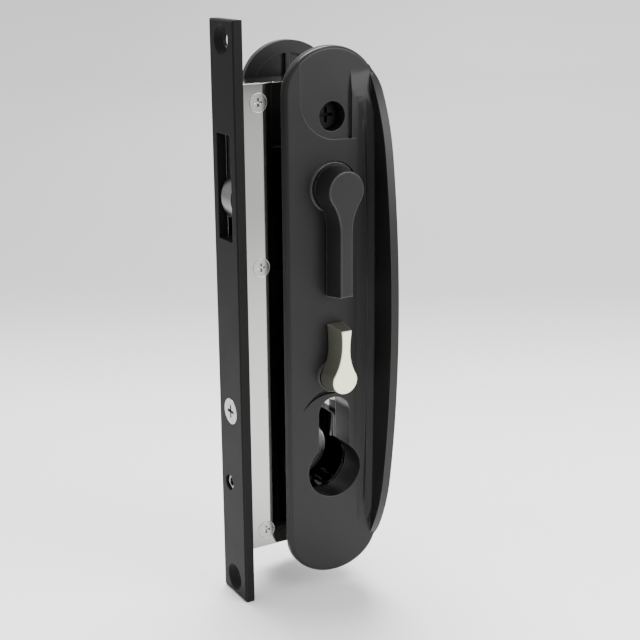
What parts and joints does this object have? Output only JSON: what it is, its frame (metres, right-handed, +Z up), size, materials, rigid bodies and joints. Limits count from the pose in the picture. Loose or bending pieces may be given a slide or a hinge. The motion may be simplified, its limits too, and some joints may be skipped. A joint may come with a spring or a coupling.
{
  "type": "sliding screen door lock",
  "caption": "Mortice hook lock for a sliding screen door with two pull plates, a lever on each side, a snib and a key cylinder opening.",
  "frame": {"origin": "outer face of the faceplate, at the middle of its length and width", "axes": "+X into the door stile, +Y through the door from the room side to the outside, +Z up along the faceplate"},
  "size_m": [0.043, 0.0548, 0.178],
  "materials": {
    "black_coat": "satin black powder coat",
    "zinc": "bright zinc plate",
    "zinc_screw": "bright zinc plate",
    "nickel": "nickel plate",
    "steel": "satin",
    "black_screw": "black oxide",
    "olive": "satin dark olive coat",
    "cream": "smooth cream"
  },
  "bodies": {
    "frame": {"faceplate": "black_coat", "case_body": "zinc", "case_cover": "zinc", "case_screws": "zinc_screw", "cylinder_screw": "nickel", "grub_screw": "nickel", "hook_pin": "steel", "lever_bushes": "black_coat", "lever_spring": "steel", "front_plate": "black_coat", "rear_plate": "black_coat", "plate_screw": "black_screw", "snib_bush": "black_coat"},
    "lever": {"follower": "steel", "spindle": "steel", "front_lever": "black_coat", "rear_lever": "black_coat", "lever_clips": "steel"},
    "hook": {"hook_bolt": "steel"},
    "snib": {"snib_hub": "steel", "snib_spindle": "steel", "snib_lever": "olive", "snib_inlay": "cream"},
    "slide": {"deadlock_slide": "steel"}
  },
  "joints": [
    {"name": "lever_turn", "type": "hinge", "parent": "frame", "child": "lever", "pos_m": [0.0277, 0, 0.0411], "axis": [0, 1, 0], "range_deg": [0, 60]},
    {"name": "hook_turn", "type": "hinge", "parent": "frame", "child": "hook", "pos_m": [0.009, 0, 0.038], "axis": [0, 1, 0], "range_deg": [-90, 0]},
    {"name": "snib_turn", "type": "hinge", "parent": "frame", "child": "snib", "pos_m": [0.0277, 0, -0.0164], "axis": [0, -1, 0], "range_deg": [0, 90]},
    {"name": "slide_lift", "type": "slide", "parent": "frame", "child": "slide", "axis": [0, 0, 1], "range_m": [0, 0.00566]}
  ],
  "couplings": [
    {"joint": "hook_turn", "follows": "lever_turn", "ratio": -1.5},
    {"joint": "snib_turn", "follows": "slide_lift", "rad_per_m": 277.68}
  ]
}
